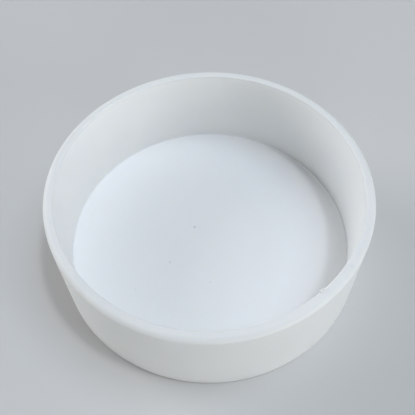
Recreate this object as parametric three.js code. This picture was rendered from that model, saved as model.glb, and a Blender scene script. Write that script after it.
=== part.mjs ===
// A round resin casting mould: one piece of cast silicone, an open cup with near-straight
// walls, a flat rim and a tight corner where the wall meets the floor.
// Millimetres, +Z up. The origin is the centre of the underside, so it stands on z = 0.
import * as THREE from 'three';

// Driving dimensions.
const boreDiameter = 101.6; // 4 inches across the cavity, at the rim
const wallThickness = 3.5; // at the rim
const cavityDepth = 32;
const floorThickness = 4;
const draftDegrees = 0.9; // both faces of the wall lean in towards the floor

// Edge radii: the faces cast against the master meet crisply, and the outer edges are softer.
const rimOuterRadius = 2;
const rimInnerRadius = 0.5;
const baseEdgeRadius = 0.8;
const floorCornerRadius = 0.5;

const radialSegments = 96;

// Worked out from the driving dimensions.
const height = floorThickness + cavityDepth;
const boreRadius = boreDiameter / 2;
const outerRadius = boreRadius + wallThickness;
const draftSlope = Math.tan(THREE.MathUtils.degToRad(draftDegrees));
const floorRadius = boreRadius - cavityDepth * draftSlope;
const baseRadius = outerRadius - height * draftSlope;

// Points of the arc that rounds the corner between the points before and after it.
function roundedCorner(before, corner, after, radius, steps) {
  const towardsBefore = before.clone().sub(corner).normalize();
  const towardsAfter = after.clone().sub(corner).normalize();
  const halfAngle = Math.acos(towardsBefore.dot(towardsAfter)) / 2;
  const tangentLength = radius / Math.tan(halfAngle);
  const bisector = towardsBefore.clone().add(towardsAfter).normalize();
  const centre = corner.clone().addScaledVector(bisector, radius / Math.sin(halfAngle));
  const first = corner.clone().addScaledVector(towardsBefore, tangentLength).sub(centre);
  const last = corner.clone().addScaledVector(towardsAfter, tangentLength).sub(centre);
  const sweep = Math.atan2(first.cross(last), first.dot(last));
  const points = [];
  for (let step = 0; step <= steps; step += 1) {
    const spoke = first.clone().rotateAround(new THREE.Vector2(), (sweep * step) / steps);
    points.push(centre.clone().add(spoke));
  }
  return points;
}

// Half of the cross-section, as (radius, height), from the axis under the floor, up the
// outside, over the rim, down the cavity and back to the axis on top of the floor.
function mouldProfile() {
  const underside = new THREE.Vector2(0, 0);
  const baseEdge = new THREE.Vector2(baseRadius, 0);
  const rimOuterEdge = new THREE.Vector2(outerRadius, height);
  const rimInnerEdge = new THREE.Vector2(boreRadius, height);
  const floorCorner = new THREE.Vector2(floorRadius, floorThickness);
  const floorCentre = new THREE.Vector2(0, floorThickness);
  return [
    underside,
    ...roundedCorner(underside, baseEdge, rimOuterEdge, baseEdgeRadius, 3),
    ...roundedCorner(baseEdge, rimOuterEdge, rimInnerEdge, rimOuterRadius, 4),
    ...roundedCorner(rimOuterEdge, rimInnerEdge, floorCorner, rimInnerRadius, 2),
    ...roundedCorner(rimInnerEdge, floorCorner, floorCentre, floorCornerRadius, 2),
    floorCentre,
  ];
}

function siliconeMould() {
  const geometry = new THREE.LatheGeometry(mouldProfile(), radialSegments);
  geometry.rotateX(Math.PI / 2);
  const silicone = new THREE.MeshStandardMaterial({
    color: new THREE.Color(0.83, 0.86, 0.86),
    roughness: 0.45,
    metalness: 0,
  });
  const mesh = new THREE.Mesh(geometry, silicone);
  mesh.name = 'silicone_mould';
  return mesh;
}

const mould = new THREE.Group();
mould.add(siliconeMould());

export default mould;
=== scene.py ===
"""Looks of a round resin casting mould: one open cup of cast, milky silicone on a pale table.

Lengths are in metres and +Z is up. The cup stands on z = 0 with its axis on the Z axis.
"""

import logging
import math
from dataclasses import dataclass, field
from enum import Enum, auto

import bpy
import numpy as np
from mathutils import Matrix, Vector


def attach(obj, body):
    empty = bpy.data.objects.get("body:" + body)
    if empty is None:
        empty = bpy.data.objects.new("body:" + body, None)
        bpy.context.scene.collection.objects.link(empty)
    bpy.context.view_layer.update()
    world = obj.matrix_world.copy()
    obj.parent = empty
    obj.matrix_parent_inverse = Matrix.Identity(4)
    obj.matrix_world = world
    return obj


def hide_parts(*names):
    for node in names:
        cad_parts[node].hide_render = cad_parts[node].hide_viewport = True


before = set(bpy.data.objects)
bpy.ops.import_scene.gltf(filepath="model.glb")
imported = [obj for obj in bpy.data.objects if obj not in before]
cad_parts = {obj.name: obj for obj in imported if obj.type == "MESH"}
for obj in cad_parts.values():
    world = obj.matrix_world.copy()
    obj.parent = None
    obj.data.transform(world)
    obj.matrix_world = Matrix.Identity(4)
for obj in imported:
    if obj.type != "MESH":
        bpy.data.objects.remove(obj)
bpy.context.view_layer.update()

LOG = logging.getLogger("resin_mould")
MM = 0.001
BODY = "root"
MOULD_NODE = "silicone_mould"


class Stretch(Enum):
    """The stretches of the cup's section, in order from the axis underneath to the axis on top."""

    UNDERSIDE = auto()
    BASE_EDGE = auto()
    OUTER_WALL = auto()
    RIM_OUTER_EDGE = auto()
    RIM = auto()
    RIM_INNER_EDGE = auto()
    INNER_WALL = auto()
    FLOOR_CORNER = auto()
    CAVITY_FLOOR = auto()


@dataclass(frozen=True)
class CupSizes:
    """The cup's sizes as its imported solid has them, between corners taken as sharp."""

    height: float
    rim_outside: float
    rim_inside: float
    base_outside: float
    floor_edge: float
    floor_level: float
    rim_outer_round: float = 2.0 * MM
    rim_inner_round: float = 0.5 * MM
    base_round: float = 0.8 * MM
    corner_round: float = 0.5 * MM
    rim_fall: float = 0.3 * MM

    @classmethod
    def measured(cls, node: bpy.types.Object) -> "CupSizes":
        """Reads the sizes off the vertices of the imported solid.

        Args:
            node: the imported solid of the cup.

        Returns:
            The radii and levels of the solid's flat faces, carried on to its sharp corners.
        """
        places = np.empty(len(node.data.vertices) * 3)
        node.data.vertices.foreach_get("co", places)
        places = places.reshape(-1, 3)
        reach = np.hypot(places[:, 0], places[:, 1])
        level = places[:, 2]
        touch = 0.01 * MM
        height = level.max()
        floor_level = level[reach < touch].max()
        rim_ring = reach[level > height - touch]
        floor_ring = reach[np.abs(level - floor_level) < touch]
        base_ring = reach[level < touch]
        return cls(
            height=float(height),
            rim_outside=float(reach.max()),
            rim_inside=float(rim_ring.min()) - cls.rim_inner_round,
            base_outside=float(base_ring.max()) + cls.base_round,
            floor_edge=float(floor_ring.max()) + cls.corner_round,
            floor_level=float(floor_level),
        )


@dataclass(frozen=True)
class Speck:
    """A pinhole or a grain of dust in the silicone.

    Its place is across and along from the cup's axis, and its rise is above the cavity floor.
    """

    across: float
    along: float
    rise: float
    radius: float
    darkness: float


@dataclass
class Bench:
    """A short way to set out and wire shader nodes."""

    tree: bpy.types.NodeTree

    def node(self, kind: str, **settings: object) -> bpy.types.Node:
        """Adds a node.

        Args:
            kind: the kind of node, without the word that every kind starts with.
            settings: its plain settings by name, such as data_type or operation.

        Returns:
            The new node.
        """
        made = self.tree.nodes.new("ShaderNode" + kind)
        for name, value in settings.items():
            setattr(made, name, value)
        return made

    def feed(self, socket: bpy.types.NodeSocket, source: object) -> None:
        """Wires an output to a socket, or sets the socket to a plain value.

        Args:
            socket: the input that is fed.
            source: an output, or the value itself.
        """
        if isinstance(source, bpy.types.NodeSocket):
            self.tree.links.new(source, socket)
        else:
            socket.default_value = source

    def noise(self, place: bpy.types.NodeSocket, scale: float, detail: float) -> bpy.types.NodeSocket:
        """Adds soft noise.

        Args:
            place: the coordinates on which the noise is read.
            scale: how many lumps go to a metre.
            detail: how many finer layers are laid over the lumps.

        Returns:
            The noise as a grey value from 0 to 1.
        """
        made = self.node("TexNoise")
        self.feed(made.inputs["Vector"], place)
        self.feed(made.inputs["Scale"], scale)
        self.feed(made.inputs["Detail"], detail)
        return made.outputs["Fac"]

    def ramp(self, value: object, start: float, end: float, low: float, high: float) -> bpy.types.NodeSocket:
        """Adds a smooth step.

        Args:
            value: what the step looks at.
            start: the value where the step begins.
            end: the value where it is complete.
            low: the result at start.
            high: the result at end.

        Returns:
            The step's result.
        """
        made = self.node("MapRange", interpolation_type="SMOOTHSTEP")
        for name, source in (("Value", value), ("From Min", start), ("From Max", end),
                             ("To Min", low), ("To Max", high)):
            self.feed(made.inputs[name], source)
        return made.outputs["Result"]

    def maths(self, operation: str, first: object, second: object = 0.0) -> bpy.types.NodeSocket:
        """Adds a sum on one or two values.

        Args:
            operation: the kind of sum, such as ADD or ABSOLUTE.
            first: the first value.
            second: the second value, which a sum on one value leaves alone.

        Returns:
            The answer.
        """
        made = self.node("Math", operation=operation)
        self.feed(made.inputs[0], first)
        self.feed(made.inputs[1], second)
        return made.outputs[0]

    def blend(
        self, share: object, first: object, second: object, how: str = "MIX"
    ) -> bpy.types.NodeSocket:
        """Adds a mix of two colours.

        Args:
            share: how much of the second colour goes in, from 0 to 1.
            first: the first colour.
            second: the second colour.
            how: the kind of mix, such as MIX or MULTIPLY.

        Returns:
            The mixed colour.
        """
        made = self.node("Mix", data_type="RGBA", blend_type=how)
        live = {socket.name: socket for socket in made.inputs if socket.enabled}
        self.feed(live["Factor"], share)
        self.feed(live["A"], first)
        self.feed(live["B"], second)
        return next(socket for socket in made.outputs if socket.enabled)


@dataclass(frozen=True)
class SiliconeFinish:
    """Milky, translucent platinum-cure silicone: satin walls and a smoother, whiter floor.

    The floor's tint is painted light: it is lighter than the wall for the light that comes through it from
    what the mould stands on.
    The rim's tint is painted shade: it is darker for the light that the thin rim lets through.
    """

    name: str = "cast_silicone"
    # The floor tint is painted light and the rim tint is painted shade, set apart by height; the wall tint
    # is the silicone's own.
    floor_tint_painted_light: tuple[float, float, float] = (0.945, 0.96, 0.975)
    wall_tint: tuple[float, float, float] = (0.875, 0.88, 0.88)
    rim_tint_painted_shade_and_glint: tuple[float, float, float] = (0.80, 0.815, 0.825)
    cloud_tint: tuple[float, float, float] = (0.90, 0.92, 0.93)
    # The colour of the specks and of the painted shade in the crease.
    dust_and_crease_shade: tuple[float, float, float] = (0.30, 0.31, 0.32)
    wall_roughness: float = 0.50
    floor_roughness: float = 0.36
    corner_roughness: float = 0.18
    ior: float = 1.41
    scatter: float = 0.6
    scatter_reach: tuple[float, float, float] = (1.0, 0.95, 0.85)
    scatter_depth: float = 4.0 * MM

    # Where one finish gives way to the next: heights above the floor, radii past the floor's
    # edge, depths under the rim, and insets from the floor's edge.
    wall_starts: tuple[float, float] = (0.2 * MM, 1.0 * MM)
    skin_starts: tuple[float, float] = (0.8 * MM, 2.4 * MM)
    rim_starts: tuple[float, float] = (1.5 * MM, 0.4 * MM)
    corner_starts: tuple[float, float] = (0.8 * MM, 0.5 * MM)

    # The painted shade in the crease at the foot of the wall: its inset, the half widths where its fade
    # begins and ends, and the cosines of the angles from its bearing between which it grows.
    crease_inset: float = 0.12 * MM
    crease_fade: tuple[float, float] = (0.05 * MM, 0.20 * MM)
    crease_bearing: float = 6.0
    crease_spread: tuple[float, float] = (0.80, 0.97)
    crease_shade_darkness: tuple[float, float] = (0.04, 0.26)

    cloud_scale: float = 38.0
    cloud_detail: float = 2.0
    cloud_span: tuple[float, float] = (0.3, 0.7)
    cloud_share: float = 0.25
    grain_scale: float = 900.0
    grain_detail: float = 3.0
    grain_strength: float = 0.15
    grain_height: float = 0.05 * MM
    speck_core: float = 0.3
    specks: tuple[Speck, ...] = (
        Speck(-5.6 * MM, 4.6 * MM, 0.0, 0.42 * MM, 0.75),
        Speck(-14.6 * MM, -10.3 * MM, 0.0, 0.75 * MM, 0.16),
        Speck(-0.3 * MM, -18.7 * MM, 0.0, 0.55 * MM, 0.14),
        Speck(-26.5 * MM, -20.8 * MM, 0.0, 0.45 * MM, 0.15),
        Speck(42.25 * MM, -31.3 * MM, 31.9 * MM, 0.50 * MM, 0.20),
    )

    def speckle(self, bench: Bench, place: bpy.types.NodeSocket, floor: float) -> bpy.types.NodeSocket:
        """Marks the specks, each a round spot that fades at its edge.

        Args:
            bench: where the nodes are set out.
            place: the object's own coordinates.
            floor: the level of the cavity floor.

        Returns:
            A value from 0, clean, to the darkest speck's darkness.
        """
        marks: object = 0.0
        for speck in self.specks:
            apart = bench.node("VectorMath", operation="DISTANCE")
            bench.feed(apart.inputs[0], place)
            bench.feed(apart.inputs[1], (speck.across, speck.along, floor + speck.rise))
            core = self.speck_core * speck.radius
            spot = bench.ramp(apart.outputs["Value"], core, speck.radius, speck.darkness, 0.0)
            marks = bench.maths("MAXIMUM", spot, marks)
        return marks

    def crease(
        self, bench: Bench, flat: bpy.types.NodeSocket, reach: bpy.types.NodeSocket, edge: float
    ) -> bpy.types.NodeSocket:
        """Paints shade into the hairline crease at the foot of the wall.

        The cosine of the angle from the crease's bearing is the place's part along that bearing
        divided by its distance from the axis.

        Args:
            bench: where the nodes are set out.
            flat: the place with its level taken out.
            reach: the distance from the cup's axis.
            edge: the radius of the floor's edge.

        Returns:
            The painted shade's darkness: faint all round, and strongest about one bearing.
        """
        off_line = bench.maths("ABSOLUTE", bench.maths("SUBTRACT", reach, edge - self.crease_inset))
        crease_shade = bench.ramp(off_line, *self.crease_fade, 1.0, 0.0)
        turn = math.radians(self.crease_bearing)
        toward = bench.node("VectorMath", operation="DOT_PRODUCT")
        bench.feed(toward.inputs[0], flat)
        bench.feed(toward.inputs[1], (math.cos(turn), math.sin(turn), 0.0))
        facing = bench.maths("DIVIDE", toward.outputs["Value"], reach)
        strength = bench.ramp(facing, *self.crease_spread, *self.crease_shade_darkness)
        return bench.maths("MULTIPLY", crease_shade, strength)

    def colour(
        self, bench: Bench, place: bpy.types.NodeSocket, on_wall: bpy.types.NodeSocket,
        on_rim: bpy.types.NodeSocket
    ) -> bpy.types.NodeSocket:
        """Mixes the wall's own tint with the floor's and the rim's tints, which are painted light and shade,
        and clouds them.

        Args:
            bench: where the nodes are set out.
            place: the object's own coordinates.
            on_wall: 0 on the cavity floor and 1 on the wall and the outside.
            on_rim: 1 on the rim and 0 elsewhere.

        Returns:
            The clouded tint.
        """
        # Painted light and shade by height: the floor tint lightens the floor, and the rim tint darkens the
        # rim (on the crumbs it paints a glint).
        tint = bench.blend(on_wall, (*self.floor_tint_painted_light, 1.0), (*self.wall_tint, 1.0))
        tint = bench.blend(on_rim, tint, (*self.rim_tint_painted_shade_and_glint, 1.0))
        lumps = bench.noise(place, self.cloud_scale, self.cloud_detail)
        cloud = bench.ramp(lumps, *self.cloud_span, 0.0, self.cloud_share)
        return bench.blend(cloud, tint, (*self.cloud_tint, 1.0), "MULTIPLY")

    def material(self, sizes: CupSizes) -> bpy.types.Material:
        """Builds the silicone as shader nodes.

        Args:
            sizes: the cup's sizes, which place the floor, the wall and the rim.

        Returns:
            The new material.
        """
        material = bpy.data.materials.new(self.name)
        material.use_nodes = True
        bench = Bench(material.node_tree)
        shader = material.node_tree.nodes["Principled BSDF"]
        place = bench.node("TexCoord").outputs["Object"]
        apart = bench.node("SeparateXYZ")
        bench.feed(apart.inputs["Vector"], place)
        level = apart.outputs["Z"]
        flat = bench.node("CombineXYZ")
        bench.feed(flat.inputs["X"], apart.outputs["X"])
        bench.feed(flat.inputs["Y"], apart.outputs["Y"])
        length = bench.node("VectorMath", operation="LENGTH")
        bench.feed(length.inputs[0], flat.outputs["Vector"])
        reach = length.outputs["Value"]

        edge, floor = sizes.floor_edge, sizes.floor_level
        above = bench.ramp(level, *(floor + rise for rise in self.wall_starts), 0.0, 1.0)
        beyond = bench.ramp(reach, *(edge + past for past in self.skin_starts), 0.0, 1.0)
        on_wall = bench.maths("MAXIMUM", above, beyond)
        on_rim = bench.ramp(level, *(sizes.height - depth for depth in self.rim_starts), 0.0, 1.0)

        tint = self.colour(bench, place, on_wall, on_rim)
        # Painted shade in the crease at the wall's foot, darkest about one bearing.
        crease_shade = self.crease(bench, flat.outputs["Vector"], reach, edge)
        marks = bench.maths("MAXIMUM", self.speckle(bench, place, floor), crease_shade)
        # The specks are real pinholes and dust; the crease line is painted shade.
        bench.feed(shader.inputs["Base Color"], bench.blend(marks, tint, (*self.dust_and_crease_shade, 1.0)))

        corner = (edge - inset for inset in self.corner_starts)
        gloss = bench.ramp(reach, *corner, self.floor_roughness, self.corner_roughness)
        dull = bench.ramp(on_wall, 0.0, 1.0, 0.0, self.wall_roughness - self.corner_roughness)
        bench.feed(shader.inputs["Roughness"], bench.maths("ADD", gloss, dull))

        bump = bench.node("Bump")
        bench.feed(bump.inputs["Height"], bench.noise(place, self.grain_scale, self.grain_detail))
        bench.feed(bump.inputs["Strength"], self.grain_strength)
        bench.feed(bump.inputs["Distance"], self.grain_height)
        bench.feed(shader.inputs["Normal"], bump.outputs["Normal"])

        bench.feed(shader.inputs["IOR"], self.ior)
        bench.feed(shader.inputs["Subsurface Weight"], self.scatter)
        bench.feed(shader.inputs["Subsurface Radius"], self.scatter_reach)
        bench.feed(shader.inputs["Subsurface Scale"], self.scatter_depth)
        return material


CAST_SILICONE = SiliconeFinish()
# The crumbs' silicone: its rim tint is painted whiter and left unclouded as a painted glint, and its surface
# is glossier.
GLINT_PAINTED_SILICONE = SiliconeFinish(
    name="silicone_painted_glint",
    rim_tint_painted_shade_and_glint=(0.98, 0.98, 0.98),
    cloud_tint=(1.0, 1.0, 1.0),
    wall_roughness=0.25,
)


@dataclass(frozen=True)
class TableFinish:
    """A matt, pale table top."""

    name: str = "pale_table"
    colour: tuple[float, float, float] = (0.62, 0.62, 0.62)
    roughness: float = 0.75
    specular: float = 0.1

    def material(self) -> bpy.types.Material:
        """Builds the table's plain material.

        Returns:
            The new material.
        """
        material = bpy.data.materials.new(self.name)
        material.use_nodes = True
        shader = material.node_tree.nodes["Principled BSDF"]
        shader.inputs["Base Color"].default_value = (*self.colour, 1.0)
        shader.inputs["Roughness"].default_value = self.roughness
        shader.inputs["Specular IOR Level"].default_value = self.specular
        return material


def closed_mesh(name: str, grid: np.ndarray, first: np.ndarray, last: np.ndarray) -> bpy.types.Mesh:
    """Skins a grid of rings that closes at one point on each end.

    Each ring joins the next by quads, and the end rings join their pole by triangles. The
    faces point outwards where the rings climb and run anticlockwise seen from above.

    Args:
        name: the mesh's name.
        grid: the rings, (rows, around, 3).
        first: the pole before the first ring.
        last: the pole after the last ring.

    Returns:
        The closed, smooth mesh.
    """
    rows, around, _ = grid.shape
    places = np.concatenate([grid.reshape(-1, 3), first[None, :], last[None, :]])
    ring = np.arange(around)
    after = (ring + 1) % around
    start = np.arange(rows - 1)[:, None] * around
    quads = np.stack([start + ring, start + after, start + around + after, start + around + ring], axis=2)
    end = (rows - 1) * around
    low = np.stack([np.full(around, rows * around), after, ring], axis=1)
    high = np.stack([np.full(around, rows * around + 1), end + ring, end + after], axis=1)
    mesh = bpy.data.meshes.new(name)
    mesh.from_pydata(places, [], quads.reshape(-1, 4).tolist() + low.tolist() + high.tolist())
    mesh.polygons.foreach_set("use_smooth", np.ones(len(mesh.polygons), dtype=bool))
    mesh.update()
    return mesh


def shown_piece(name: str, mesh: bpy.types.Mesh, finish: bpy.types.Material) -> bpy.types.Object:
    """Makes a silicone piece of the mould from a mesh, dresses it and lets it ride.

    Args:
        name: the piece's name.
        mesh: its mesh, in place.
        finish: its material.

    Returns:
        The new piece.
    """
    piece = bpy.data.objects.new(name, mesh)
    bpy.context.scene.collection.objects.link(piece)
    mesh.materials.append(finish)
    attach(piece, BODY)
    LOG.info("%s: %d faces", name, len(mesh.polygons))
    return piece


@dataclass(frozen=True)
class Waves:
    """Slow waves round the casting: how high they stand, their seed and how many are added."""

    height: float
    seed: int
    count: int
    fewest_turns: int = 2
    steepest_climb: float = 2.5

    def over(self, angle: np.ndarray, share: np.ndarray) -> np.ndarray:
        """Adds up the waves: cosines of whole-number turns round the cup and a slow slope up
        it, each with a seeded phase, over the square root of their number.

        Args:
            angle: the angle round the cup, in radians.
            share: the share of the way up the cup, from 0 to 1.

        Returns:
            How far the waves stand out, in the shape of the two arrays together.
        """
        draw = np.random.default_rng(self.seed)
        total = np.zeros(np.broadcast(angle, share).shape)
        for turns in range(self.fewest_turns, self.fewest_turns + self.count):
            phase = draw.uniform(0.0, 2 * math.pi)
            climb = draw.uniform(-self.steepest_climb, self.steepest_climb)
            total += np.cos(turns * angle + climb * share + phase)
        return self.height * total / math.sqrt(self.count)


@dataclass
class SiliconeCup:
    """The whole mould: one revolved skin with the small unevenness of a hand-poured casting."""

    sizes: CupSizes
    finish: bpy.types.Material

    # How finely the skin is cut: round the cup, along each rounded edge, and along the flats.
    around: int = 384
    base_edge_steps: int = 8
    rim_edge_steps: int = 14
    inner_edge_steps: int = 6
    floor_rows: int = 57
    wall_rows: int = 45
    rim_rows: int = 9
    crowding: float = 0.12

    # The casting's unevenness.
    out_of_round: Waves = Waves(0.16 * MM, seed=3, count=3)
    rim_waves: Waves = Waves(0.07 * MM, seed=5, count=3)
    skin_waves: Waves = Waves(0.07 * MM, seed=8, count=6)
    bead_height: float = 0.34 * MM
    bead_place: float = 0.95 * MM
    bead_width: float = 0.34 * MM
    bead_bearing: float = 33.0
    bead_reach: float = 17.0
    bead_elsewhere: float = 0.15
    groove_depth: float = 0.22 * MM
    groove_width: float = 0.22 * MM

    def arc(self, before: np.ndarray, corner: np.ndarray, after: np.ndarray, radius: float,
            steps: int) -> np.ndarray:
        """Rounds one corner of the section.

        The arc touches both sides of the corner. Its centre lies on the corner's bisector, at
        radius divided by the sine of half the corner's angle.

        Args:
            before: the corner before this one, as (radius, level).
            corner: the corner that is rounded.
            after: the corner after it.
            radius: the arc's radius.
            steps: how many stretches the arc is cut into.

        Returns:
            The arc's points, steps + 1 rows of (radius, level).
        """
        back = (before - corner) / np.linalg.norm(before - corner)
        ahead = (after - corner) / np.linalg.norm(after - corner)
        half = math.acos(float(back @ ahead)) / 2
        middle = (back + ahead) / np.linalg.norm(back + ahead)
        centre = corner + middle * radius / math.sin(half)
        start = corner + back * radius / math.tan(half) - centre
        sweep = math.pi - 2 * half
        turn = math.copysign(1.0, float(ahead[0] * back[1] - ahead[1] * back[0]))
        angle = turn * np.linspace(0.0, sweep, steps + 1)
        across = start[0] * np.cos(angle) - start[1] * np.sin(angle)
        up = start[0] * np.sin(angle) + start[1] * np.cos(angle)
        return centre + np.stack([across, up], axis=1)

    def section(self) -> tuple[np.ndarray, np.ndarray]:
        """Lays out half of the cup's section from the axis underneath to the axis on top.

        Each corner is an arc. The rows of the floor and the underside crowd towards the arcs:
        the row at share t lies at a t + (1 - a) t^3 of the way to the axis. The walls and the
        rim have even rows.

        Returns:
            The points as (radius, level), and for each the number of its Stretch.
        """
        s = self.sizes
        corners = np.array([
            (0.0, 0.0),
            (s.base_outside, 0.0),
            (s.rim_outside, s.height - s.rim_fall),
            (s.rim_inside, s.height),
            (s.floor_edge, s.floor_level),
            (0.0, s.floor_level),
        ])
        arcs = [
            self.arc(*corners[0:3], s.base_round, self.base_edge_steps),
            self.arc(*corners[1:4], s.rim_outer_round, self.rim_edge_steps),
            self.arc(*corners[2:5], s.rim_inner_round, self.inner_edge_steps),
            self.arc(*corners[3:6], s.corner_round, self.inner_edge_steps),
        ]
        share = np.linspace(0.0, 1.0, self.floor_rows)[:, None]
        crowd = self.crowding * share + (1 - self.crowding) * share**3
        even = np.linspace(0.0, 1.0, self.wall_rows)[1:-1, None]
        few = np.linspace(0.0, 1.0, self.rim_rows)[1:-1, None]
        sparse = crowd[1:-1:2]
        runs = [
            (Stretch.UNDERSIDE, (arcs[0][0] + (corners[0] - arcs[0][0]) * sparse)[::-1]),
            (Stretch.BASE_EDGE, arcs[0]),
            (Stretch.OUTER_WALL, arcs[0][-1] + (arcs[1][0] - arcs[0][-1]) * even),
            (Stretch.RIM_OUTER_EDGE, arcs[1]),
            (Stretch.RIM, arcs[1][-1] + (arcs[2][0] - arcs[1][-1]) * few),
            (Stretch.RIM_INNER_EDGE, arcs[2]),
            (Stretch.INNER_WALL, arcs[2][-1] + (arcs[3][0] - arcs[2][-1]) * even),
            (Stretch.FLOOR_CORNER, arcs[3]),
            (Stretch.CAVITY_FLOOR, arcs[3][-1] + (corners[5] - arcs[3][-1]) * crowd[1:-1]),
        ]
        points = np.concatenate([run for _, run in runs])
        stretch = np.concatenate([np.full(len(run), kind.value) for kind, run in runs])
        return points, stretch

    def surface(self) -> np.ndarray:
        """Turns the section round the axis and adds the casting's unevenness.

        The wall leaves the true circle by slow waves that grow with the square of the height
        and with the distance from the axis. The rim rises and falls by waves that grow with the
        sixth power of the height, and the outer skin has slow dents that fade at its foot and
        its rim. In the cavity a narrow groove follows the foot of the wall. Just inside it a
        bead of flash rises and fades along a short arc.

        Returns:
            The grid of points, (rows, around, 3).
        """
        s = self.sizes
        points, stretch = self.section()
        angle = np.linspace(0.0, 2 * math.pi, self.around, endpoint=False)[None, :]
        reach = np.repeat(points[:, :1], self.around, axis=1)
        level = np.repeat(points[:, 1:], self.around, axis=1)
        share = level / s.height
        flat = np.zeros_like(share)
        spread = share**2 * reach / s.rim_outside

        kind = stretch[:, None]
        outside = (kind == Stretch.OUTER_WALL.value) | (kind == Stretch.RIM_OUTER_EDGE.value)
        dents = self.skin_waves.over(angle, share) * np.sin(math.pi * np.clip(share, 0.0, 1.0))
        reach = reach + self.out_of_round.over(angle, flat) * spread
        reach = reach + np.where(outside, dents, 0.0)
        level = level + self.rim_waves.over(angle, flat) * share**6

        foot = (kind == Stretch.CAVITY_FLOOR.value) | (kind == Stretch.FLOOR_CORNER.value)
        level = level + np.where(foot, self.relief(angle, s.floor_edge - points[:, :1]), 0.0)
        return np.stack([reach * np.cos(angle), reach * np.sin(angle), level], axis=2)

    def relief(self, angle: np.ndarray, inset: np.ndarray) -> np.ndarray:
        """Works out the bead and the groove at the foot of the wall.

        Each is a bell curve of the inset. The bead's height is full at its bearing, falls off
        as 1 minus the square of the share of its reach, and stays low elsewhere.

        Args:
            angle: the angle round the cup, in radians.
            inset: the distance inside the floor's edge.

        Returns:
            How far the floor rises, in the shape of the two arrays together.
        """
        off_bead = (np.degrees(angle) - self.bead_bearing) / self.bead_reach
        strength = np.clip(1.0 - off_bead**2, 0.0, 1.0)
        strength = self.bead_elsewhere + (1 - self.bead_elsewhere) * strength
        bead = self.bead_height * np.exp(-(((inset - self.bead_place) / self.bead_width) ** 2))
        groove = self.groove_depth * np.exp(-((inset / self.groove_width) ** 2))
        return bead * strength - groove

    def build(self) -> bpy.types.Object:
        """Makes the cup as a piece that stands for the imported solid.

        Returns:
            The dressed cup.
        """
        grid = self.surface()
        poles = (np.zeros(3), np.array([0.0, 0.0, self.sizes.floor_level]))
        cup = shown_piece("silicone_cup", closed_mesh("silicone_cup", grid, *poles), self.finish)
        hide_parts(MOULD_NODE)
        return cup


@dataclass
class RimNib:
    """A crumb of flash left on the inner edge of the rim when the mould was trimmed."""

    sizes: CupSizes
    finish: bpy.types.Material
    name: str
    bearing: float
    length: float = 1.1 * MM
    width: float = 0.8 * MM
    height: float = 0.8 * MM
    around: int = 32
    rows: int = 17
    lumps: int = 3
    lump_height: float = 0.18
    lump_turn: float = 1.0

    def mesh(self) -> bpy.types.Mesh:
        """Shapes the crumb: a lozenge whose radius swells and shrinks round it.

        A point at longitude u and latitude v lies at the three half sizes times
        (cos u cos v, sin u cos v, sin v), times 1 + h cos(n u + a) cos v for n lumps of height
        h that start at the angle a.

        Returns:
            The crumb's mesh, in place on the rim's inner edge.
        """
        longitude = np.linspace(0.0, 2 * math.pi, self.around, endpoint=False)[None, :]
        latitude = np.linspace(-math.pi / 2, math.pi / 2, self.rows)[1:-1, None]
        swell = 1 + self.lump_height * np.cos(self.lumps * longitude + self.lump_turn) * np.cos(latitude)
        half = np.array([self.width, self.length, self.height]) / 2
        ball = np.stack([
            np.cos(longitude) * np.cos(latitude) * swell,
            np.sin(longitude) * np.cos(latitude) * swell,
            np.sin(latitude) * swell,
        ], axis=2)
        poles = (np.array([0.0, 0.0, -half[2]]), np.array([0.0, 0.0, half[2]]))
        mesh = closed_mesh(self.name, ball * half, *poles)
        bearing = math.radians(self.bearing)
        spot = Vector((
            self.sizes.rim_inside * math.cos(bearing),
            self.sizes.rim_inside * math.sin(bearing),
            self.sizes.height,
        ))
        mesh.transform(Matrix.Translation(spot) @ Matrix.Rotation(bearing, 4, "Z"))
        return mesh

    def build(self) -> bpy.types.Object:
        """Makes the crumb and lets it ride with the mould."""
        return shown_piece(self.name, self.mesh(), self.finish)


@dataclass(frozen=True)
class SoftBox:
    """One soft studio light."""

    name: str
    bearing: float
    elevation: float
    size: float
    power: float
    colour: tuple[float, float, float] = (1.0, 1.0, 1.0)
    distance: float = 2.5

    def hang(self, aim: Vector) -> None:
        """Hangs the light on its bearing, measured from +X towards +Y, and points it at aim.

        Args:
            aim: the place it shines at.
        """
        lamp = bpy.data.lights.new(self.name, "AREA")
        lamp.shape = "DISK"
        lamp.size = self.size
        lamp.energy = self.power
        lamp.color = self.colour
        holder = bpy.data.objects.new(self.name, lamp)
        bearing, rise = math.radians(self.bearing), math.radians(self.elevation)
        away = Vector((math.cos(bearing) * math.cos(rise), math.sin(bearing) * math.cos(rise),
                       math.sin(rise)))
        holder.location = aim + away * self.distance
        holder.rotation_euler = (-away).to_track_quat("-Z", "Y").to_euler()
        holder.visible_camera = False
        bpy.context.scene.collection.objects.link(holder)
        LOG.info("%s: %.1f W", self.name, self.power)


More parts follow.
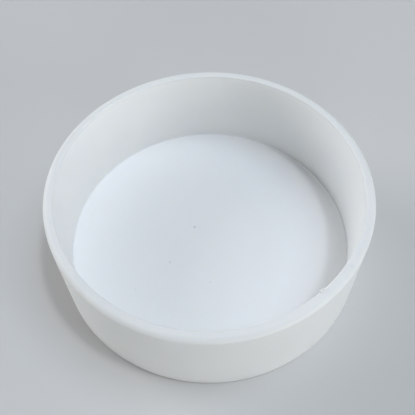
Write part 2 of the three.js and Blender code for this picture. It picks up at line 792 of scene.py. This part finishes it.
@dataclass
class Studio:
    """The pale table, the soft lights and the camera."""

    sizes: CupSizes
    table: TableFinish = field(default_factory=TableFinish)
    table_reach: float = 1.5
    table_sides: int = 128
    camera_elevation: float = 53.38
    camera_distance: float = 204.28 * MM
    aim_offset: tuple[float, float] = (-0.5 * MM, -8.8 * MM)
    camera_roll: float = -1.62
    lens: float = 54.1
    sensor: float = 36.0
    nearest: float = 10 * MM
    sky: tuple[float, float, float] = (1.0, 1.0, 1.0)
    sky_strength: float = 0.15
    backdrop: tuple[float, float, float] = (0.55, 0.56, 0.57)

    def lay_table(self) -> None:
        """Lays a round table top just under the cup: the edge is a circle at even angles."""
        angle = np.linspace(0.0, 2 * math.pi, self.table_sides, endpoint=False)
        edge = np.stack([np.cos(angle), np.sin(angle), 0 * angle], axis=1) * self.table_reach
        mesh = bpy.data.meshes.new("table_top")
        mesh.from_pydata(edge.tolist(), [], [tuple(range(self.table_sides))])
        top = bpy.data.objects.new("table_top", mesh)
        bpy.context.scene.collection.objects.link(top)
        mesh.materials.append(self.table.material())
        LOG.info("table top: %.1f m across", 2 * self.table_reach)

    def light(self) -> None:
        """Hangs the soft lights round the middle of the cup.

        Each light's numbers are its bearing and elevation in degrees, its size in metres and
        its power in watts.
        """
        middle = Vector((0.0, 0.0, self.sizes.height / 2))
        lights = [
            SoftBox("back_left_softbox", 150.0, 20.0, 1.4, 31.0),
            SoftBox("left_softbox", 172.0, 34.0, 0.6, 2.2),
            SoftBox("front_softbox", 270.0, 12.0, 1.0, 10.2, (1.0, 1.0, 0.92)),
            SoftBox("front_right_softbox", 330.0, 12.0, 1.0, 12.7, (0.91, 0.96, 1.0)),
            SoftBox("right_softbox", 0.0, 45.0, 1.4, 7.2, (1.0, 0.90, 0.75)),
            SoftBox("top_softbox", 0.0, 70.0, 1.4, 20.5, (0.66, 0.82, 1.0)),
            SoftBox("small_lamp", 337.0, 74.6, 0.22, 9.5),
        ]
        for light in lights:
            light.hang(middle)

    def hang_backdrop(self) -> None:
        """Surrounds the scene with a faint even light, seen as a plain, pale backdrop."""
        world = bpy.data.worlds.new("pale_room")
        world.use_nodes = True
        bench = Bench(world.node_tree)
        room = world.node_tree.nodes["Background"]
        bench.feed(room.inputs["Color"], (*self.sky, 1.0))
        bench.feed(room.inputs["Strength"], self.sky_strength)
        wall = bench.node("Background")
        bench.feed(wall.inputs["Color"], (*self.backdrop, 1.0))
        choice = bench.node("MixShader")
        bench.feed(choice.inputs[0], bench.node("LightPath").outputs["Is Camera Ray"])
        bench.feed(choice.inputs[1], room.outputs["Background"])
        bench.feed(choice.inputs[2], wall.outputs["Background"])
        bench.feed(world.node_tree.nodes["World Output"].inputs["Surface"], choice.outputs["Shader"])
        bpy.context.scene.world = world
        bpy.context.scene.view_settings.view_transform = "Standard"

    def stand_camera(self) -> None:
        """Stands the camera in front of the cup, looking down into it."""
        rim_centre = Vector((0.0, 0.0, self.sizes.height))
        rise = math.radians(self.camera_elevation)
        away = Vector((0.0, -math.cos(rise), math.sin(rise)))
        place = rim_centre + away * self.camera_distance
        ahead = (rim_centre + Vector((*self.aim_offset, 0.0)) - place).normalized()
        turn = Matrix.Rotation(math.radians(-self.camera_roll), 3, ahead)
        right = turn @ ahead.cross(Vector((0.0, 0.0, 1.0))).normalized()
        up = right.cross(ahead)
        axes = Matrix((right, up, -ahead)).transposed().to_4x4()
        lens = bpy.data.cameras.new("studio_camera")
        lens.lens = self.lens
        lens.sensor_width = self.sensor
        lens.clip_start = self.nearest
        camera = bpy.data.objects.new("studio_camera", lens)
        camera.matrix_world = Matrix.Translation(place) @ axes
        bpy.context.scene.collection.objects.link(camera)
        bpy.context.scene.camera = camera
        LOG.info("camera: %.0f mm from the rim's centre", self.camera_distance / MM)

    def build(self) -> None:
        """Sets up the whole studio."""
        self.lay_table()
        self.light()
        self.hang_backdrop()
        self.stand_camera()


def main() -> None:
    """Builds the mould and its studio in order."""
    logging.basicConfig(level=logging.INFO, format="%(name)s: %(message)s")
    sizes = CupSizes.measured(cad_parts[MOULD_NODE])
    SiliconeCup(sizes, CAST_SILICONE.material(sizes)).build()
    # The crumbs are painted whiter than the rim as a painted glint.
    glint_painted_finish = GLINT_PAINTED_SILICONE.material(sizes)
    RimNib(sizes, glint_painted_finish, "rim_nib", bearing=-51.0).build()
    RimNib(
        sizes, glint_painted_finish, "rim_crumb", bearing=-49.8, length=0.7 * MM, width=0.6 * MM, height=0.6 * MM
    ).build()
    Studio(sizes).build()


if __name__ == "__main__":
    main()
